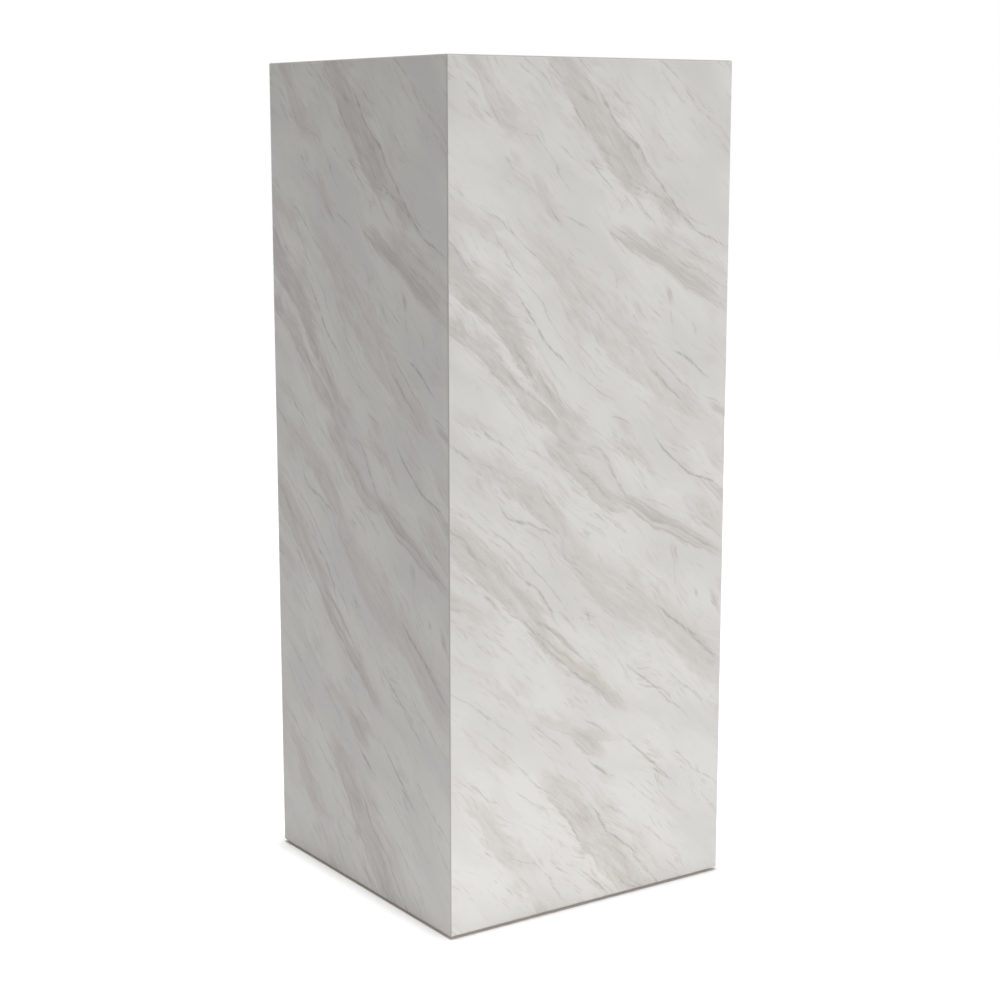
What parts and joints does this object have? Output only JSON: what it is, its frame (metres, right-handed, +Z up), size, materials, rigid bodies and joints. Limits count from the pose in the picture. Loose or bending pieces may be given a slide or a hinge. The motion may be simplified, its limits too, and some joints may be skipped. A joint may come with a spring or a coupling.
{
  "type": "pedestal column stand",
  "caption": "Square pedestal column with marble-effect sides and top, a hollow mitred box standing on screw-adjustable levelling glides; holds a plant, vase or display piece.",
  "frame": {"origin": "on the floor, under the centre of the column's square plan", "axes": "+Z up the column; the front face looks along -Y and the right face along +X"},
  "size_m": [0.305, 0.305, 0.762],
  "materials": {
    "marble_laminate": "satin high-pressure laminate, printed pale grey marble with pinkish-beige diagonal veins",
    "fibreboard": "raw medium-density fibreboard, sawn edges",
    "softwood": "planed softwood",
    "beech": "pressed beech",
    "plywood": "sanded plywood",
    "yellow_zinc_steel": "yellow zinc plated",
    "bright_zinc_steel": "bright zinc plated",
    "black_plastic": "moulded black polyamide, fine texture",
    "felt": "dense grey felt"
  },
  "bodies": {
    "column": {"front_wall_board": "fibreboard", "front_marble_laminate": "marble_laminate", "right_wall_board": "fibreboard", "right_marble_laminate": "marble_laminate", "back_wall_board": "fibreboard", "back_marble_laminate": "marble_laminate", "left_wall_board": "fibreboard", "left_marble_laminate": "marble_laminate", "top_board": "fibreboard", "top_marble_laminate": "marble_laminate", "upright_mitre_biscuits": "beech", "top_mitre_biscuits": "beech", "front_left_upright_batten": "softwood", "front_right_upright_batten": "softwood", "back_right_upright_batten": "softwood", "back_left_upright_batten": "softwood", "front_base_batten": "softwood", "front_top_batten": "softwood", "right_base_batten": "softwood", "right_top_batten": "softwood", "back_base_batten": "softwood", "back_top_batten": "softwood", "left_base_batten": "softwood", "left_top_batten": "softwood", "right_shelf_batten": "softwood", "left_shelf_batten": "softwood", "stiffening_shelf": "plywood", "base_panel": "fibreboard", "base_screws": "yellow_zinc_steel", "shelf_screws": "yellow_zinc_steel", "pronged_nuts": "bright_zinc_steel"},
    "front_left_glide": {"front_left_glide_foot": "black_plastic", "front_left_glide_sole": "felt"},
    "front_left_stud": {"front_left_glide_stud": "bright_zinc_steel"},
    "front_right_glide": {"front_right_glide_foot": "black_plastic", "front_right_glide_sole": "felt"},
    "front_right_stud": {"front_right_glide_stud": "bright_zinc_steel"},
    "back_right_glide": {"back_right_glide_foot": "black_plastic", "back_right_glide_sole": "felt"},
    "back_right_stud": {"back_right_glide_stud": "bright_zinc_steel"},
    "back_left_glide": {"back_left_glide_foot": "black_plastic", "back_left_glide_sole": "felt"},
    "back_left_stud": {"back_left_glide_stud": "bright_zinc_steel"}
  },
  "joints": [
    {"name": "front_left_glide_travel", "type": "slide", "parent": "column", "child": "front_left_glide", "axis": [0, 0, -1], "range_m": [0, 0.01]},
    {"name": "front_left_stud_turn", "type": "hinge", "parent": "front_left_glide", "child": "front_left_stud", "pos_m": [-0.1005, -0.1005, 0.0206], "axis": [0, 0, -1], "range_deg": [0, 2880]},
    {"name": "front_right_glide_travel", "type": "slide", "parent": "column", "child": "front_right_glide", "axis": [0, 0, -1], "range_m": [0, 0.01]},
    {"name": "front_right_stud_turn", "type": "hinge", "parent": "front_right_glide", "child": "front_right_stud", "pos_m": [0.1005, -0.1005, 0.0206], "axis": [0, 0, -1], "range_deg": [0, 2880]},
    {"name": "back_right_glide_travel", "type": "slide", "parent": "column", "child": "back_right_glide", "axis": [0, 0, -1], "range_m": [0, 0.01]},
    {"name": "back_right_stud_turn", "type": "hinge", "parent": "back_right_glide", "child": "back_right_stud", "pos_m": [0.1005, 0.1005, 0.0206], "axis": [0, 0, -1], "range_deg": [0, 2880]},
    {"name": "back_left_glide_travel", "type": "slide", "parent": "column", "child": "back_left_glide", "axis": [0, 0, -1], "range_m": [0, 0.01]},
    {"name": "back_left_stud_turn", "type": "hinge", "parent": "back_left_glide", "child": "back_left_stud", "pos_m": [-0.1005, 0.1005, 0.0206], "axis": [0, 0, -1], "range_deg": [0, 2880]}
  ],
  "couplings": [
    {"joint": "front_left_stud_turn", "follows": "front_left_glide_travel", "rad_per_m": 5026.5},
    {"joint": "front_right_stud_turn", "follows": "front_right_glide_travel", "rad_per_m": 5026.5},
    {"joint": "back_right_stud_turn", "follows": "back_right_glide_travel", "rad_per_m": 5026.5},
    {"joint": "back_left_stud_turn", "follows": "back_left_glide_travel", "rad_per_m": 5026.5}
  ]
}
